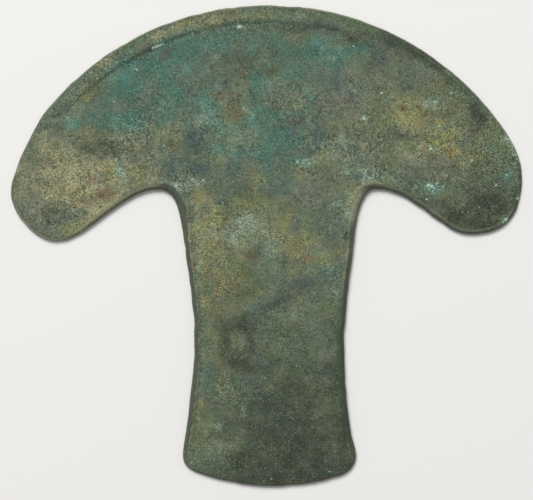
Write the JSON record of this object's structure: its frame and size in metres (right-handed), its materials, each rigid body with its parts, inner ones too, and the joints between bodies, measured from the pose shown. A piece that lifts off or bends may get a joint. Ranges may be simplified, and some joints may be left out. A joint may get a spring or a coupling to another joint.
{
  "type": "axe money",
  "caption": "Thin hammered copper plate shaped like a broad axe, with a crescent blade and a flared shank, once used as a store of value.",
  "frame": {"origin": "on the flat back, under the middle of the outline's box", "axes": "+Z out of the worked face, +Y from the butt to the crown of the blade, +X across the blade from wing to wing"},
  "size_m": [0.15, 0.141, 0.0026],
  "materials": {
    "patinated_copper": "matt mineral patina, mottled grey-green, teal and olive, over hammered copper"
  },
  "bodies": {
    "root": {"axe_money": "patinated_copper"}
  },
  "joints": []
}
